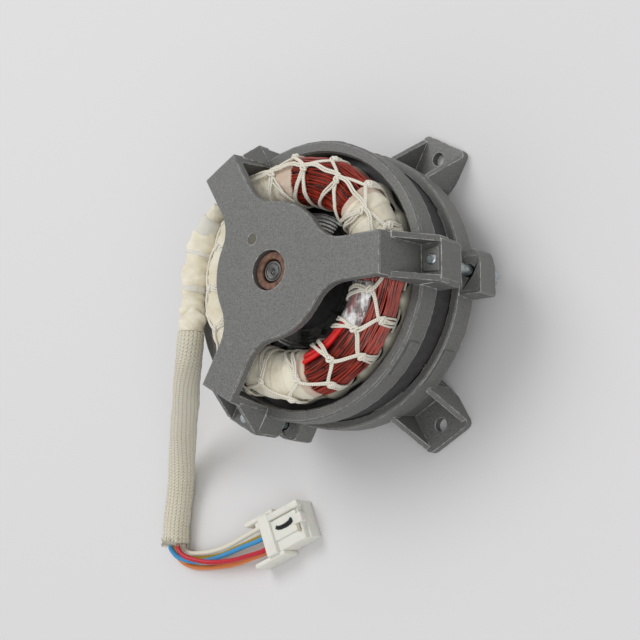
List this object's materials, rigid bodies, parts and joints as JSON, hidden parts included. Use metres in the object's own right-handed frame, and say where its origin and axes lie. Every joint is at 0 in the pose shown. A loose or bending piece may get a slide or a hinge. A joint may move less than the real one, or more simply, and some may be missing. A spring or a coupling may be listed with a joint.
{
  "type": "fan motor",
  "caption": "Open-frame induction motor with a three-arm cast front bracket, footed rear bracket, laced winding and a sleeved lead harness with a connector.",
  "frame": {"origin": "shaft axis at the plane of the mounting feet's undersides", "axes": "+Z along the shaft towards the three-arm front face, +X along one front arm"},
  "size_m": [0.2102, 0.201, 0.144],
  "materials": {
    "cast_aluminium": "sand-textured die casting, matte grey with bright worn edges",
    "core_steel": "dark oxide-blued laminations",
    "enamelled_wire": "dark red-brown enamelled copper wire",
    "cloth_tape": "cream cloth tape",
    "clear_film": "clear glossy film",
    "red_lead": "bright red insulation",
    "lacing_cord": "cream waxed cord",
    "paper": "cream insulating paper",
    "zinc": "bright zinc plate",
    "bush_bronze": "rusty brown sintered bush",
    "felt": "oiled felt",
    "spring_steel": "plain spring steel",
    "shaft_steel": "ground steel",
    "rotor_aluminium": "cast cage",
    "glass_sleeve": "cream braided glass fibre",
    "cream_wire": "cream insulation",
    "yellow_wire": "yellow insulation",
    "blue_wire": "blue insulation",
    "red_wire": "red insulation",
    "orange_wire": "orange insulation",
    "nylon": "off-white nylon",
    "terminal_tin": "tinned"
  },
  "bodies": {
    "stator": {"braided_sleeve": "glass_sleeve", "connector_housing": "nylon", "flat_washer_1": "zinc", "flat_washer_2": "zinc", "flat_washer_3": "zinc", "front_bracket": "cast_aluminium", "front_bush": "bush_bronze", "front_felt_retainer": "spring_steel", "front_lacing": "lacing_cord", "front_oil_felt": "felt", "insulation_collar": "paper", "lead_blue": "blue_wire", "lead_cream": "cream_wire", "lead_orange": "orange_wire", "lead_red": "red_wire", "lead_yellow": "yellow_wire", "lock_washer_1": "spring_steel", "lock_washer_2": "spring_steel", "lock_washer_3": "spring_steel", "rear_bracket": "cast_aluminium", "rear_bush": "bush_bronze", "rear_felt_retainer": "spring_steel", "rear_lacing": "lacing_cord", "rear_oil_felt": "felt", "stator_core": "core_steel", "stator_winding": "enamelled_wire", "taped_lead_joint": "cloth_tape", "terminal_blue": "terminal_tin", "terminal_cream": "terminal_tin", "terminal_orange": "terminal_tin", "terminal_red": "terminal_tin", "terminal_yellow": "terminal_tin", "through_bolt_1": "zinc", "through_bolt_2": "zinc", "through_bolt_3": "zinc", "winding_film": "clear_film", "winding_lead_1": "red_lead", "winding_lead_2": "red_lead", "winding_tape_1": "cloth_tape", "winding_tape_2": "cloth_tape", "winding_tape_3": "cloth_tape"},
    "rotor": {"shaft": "shaft_steel", "rotor_core": "core_steel", "rotor_cage": "rotor_aluminium", "front_thrust_washer": "spring_steel", "rear_thrust_washer": "spring_steel"}
  },
  "joints": [
    {"name": "rotor_spin", "type": "hinge", "parent": "stator", "child": "rotor", "pos_m": [0, 0, 0], "axis": [0, 0, 1], "continuous": true}
  ]
}
